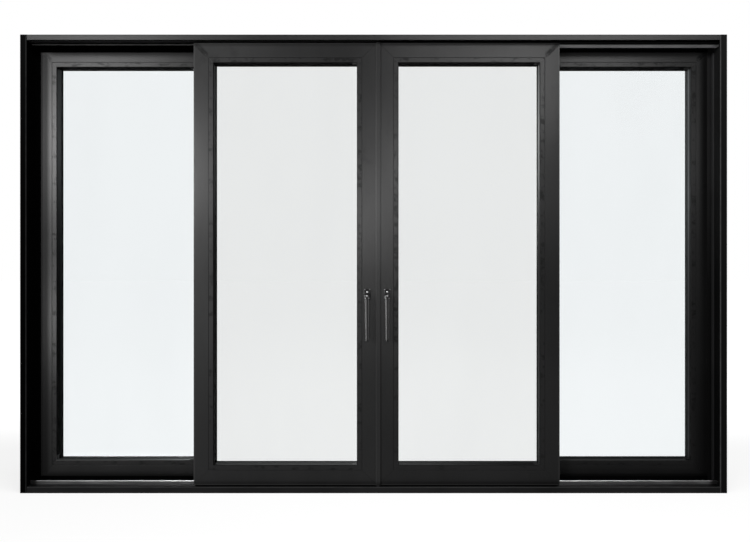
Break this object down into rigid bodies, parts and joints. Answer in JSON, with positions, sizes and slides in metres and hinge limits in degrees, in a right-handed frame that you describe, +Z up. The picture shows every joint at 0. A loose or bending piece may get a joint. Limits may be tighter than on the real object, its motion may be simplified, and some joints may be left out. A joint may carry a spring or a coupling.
{
  "type": "glass sliding patio door",
  "caption": "Wide sliding patio door: fixed glazed outer panels, sliding leaves that meet near the middle, and lever handles.",
  "frame": {"origin": "middle of the sill's underside", "axes": "+X along the width to the right as seen from the room, +Y from the room to the outside, +Z up"},
  "size_m": [3.7, 0.215, 2.4],
  "materials": {
    "frame_coating": "satin black powder coat on aluminium",
    "glass": "clear double glazing",
    "gasket_rubber": "matt black",
    "spacer_bar": "matt black warm-edge bar",
    "rail_metal": "bare, brushed along its length",
    "roller_metal": "turned",
    "handle_metal": "satin black",
    "guide_plastic": "moulded"
  },
  "bodies": {
    "root": {"fixed_gaskets": "gasket_rubber", "fixed_spacers": "spacer_bar", "head": "frame_coating", "head_guide_channel": "frame_coating", "head_guide_strip": "frame_coating", "jamb_strip": "frame_coating", "left_fixed_beads": "frame_coating", "left_fixed_bottom_rail": "frame_coating", "left_fixed_glass": "glass", "left_fixed_interlock_stile": "frame_coating", "left_fixed_outer_stile": "frame_coating", "left_fixed_top_rail": "frame_coating", "left_jamb": "frame_coating", "right_fixed_beads": "frame_coating", "right_fixed_bottom_rail": "frame_coating", "right_fixed_glass": "glass", "right_fixed_interlock_stile": "frame_coating", "right_fixed_outer_stile": "frame_coating", "right_fixed_top_rail": "frame_coating", "right_jamb": "frame_coating", "sill": "frame_coating", "sill_rail": "rail_metal"},
    "left_leaf": {"astragal": "frame_coating", "left_handle_rose": "handle_metal", "left_leaf_beads": "frame_coating", "left_leaf_bottom_rail": "frame_coating", "left_leaf_gaskets": "gasket_rubber", "left_leaf_glass": "glass", "left_leaf_guide_blocks": "guide_plastic", "left_leaf_meeting_stile": "frame_coating", "left_leaf_outer_stile": "frame_coating", "left_leaf_rollers": "roller_metal", "left_leaf_spacers": "spacer_bar", "left_leaf_top_rail": "frame_coating"},
    "right_leaf": {"right_handle_rose": "handle_metal", "right_leaf_beads": "frame_coating", "right_leaf_bottom_rail": "frame_coating", "right_leaf_gaskets": "gasket_rubber", "right_leaf_glass": "glass", "right_leaf_meeting_stile": "frame_coating", "right_leaf_outer_stile": "frame_coating", "right_leaf_rollers": "roller_metal", "right_leaf_spacers": "spacer_bar", "right_leaf_top_rail": "frame_coating"},
    "left_handle": {"left_lever": "handle_metal"},
    "right_handle": {"right_lever": "handle_metal"}
  },
  "joints": [
    {"name": "left_slide", "type": "slide", "parent": "root", "child": "left_leaf", "axis": [-1, 0, 0], "range_m": [0, 0.85]},
    {"name": "right_slide", "type": "slide", "parent": "root", "child": "right_leaf", "axis": [1, 0, 0], "range_m": [0, 0.82]},
    {"name": "left_handle_turn", "type": "hinge", "parent": "left_leaf", "child": "left_handle", "pos_m": [-0.034, -0.062, 1.03], "axis": [0, 1, 0], "range_deg": [0, 180]},
    {"name": "right_handle_turn", "type": "hinge", "parent": "right_leaf", "child": "right_handle", "pos_m": [0.072, -0.062, 1.03], "axis": [0, -1, 0], "range_deg": [0, 180]}
  ]
}
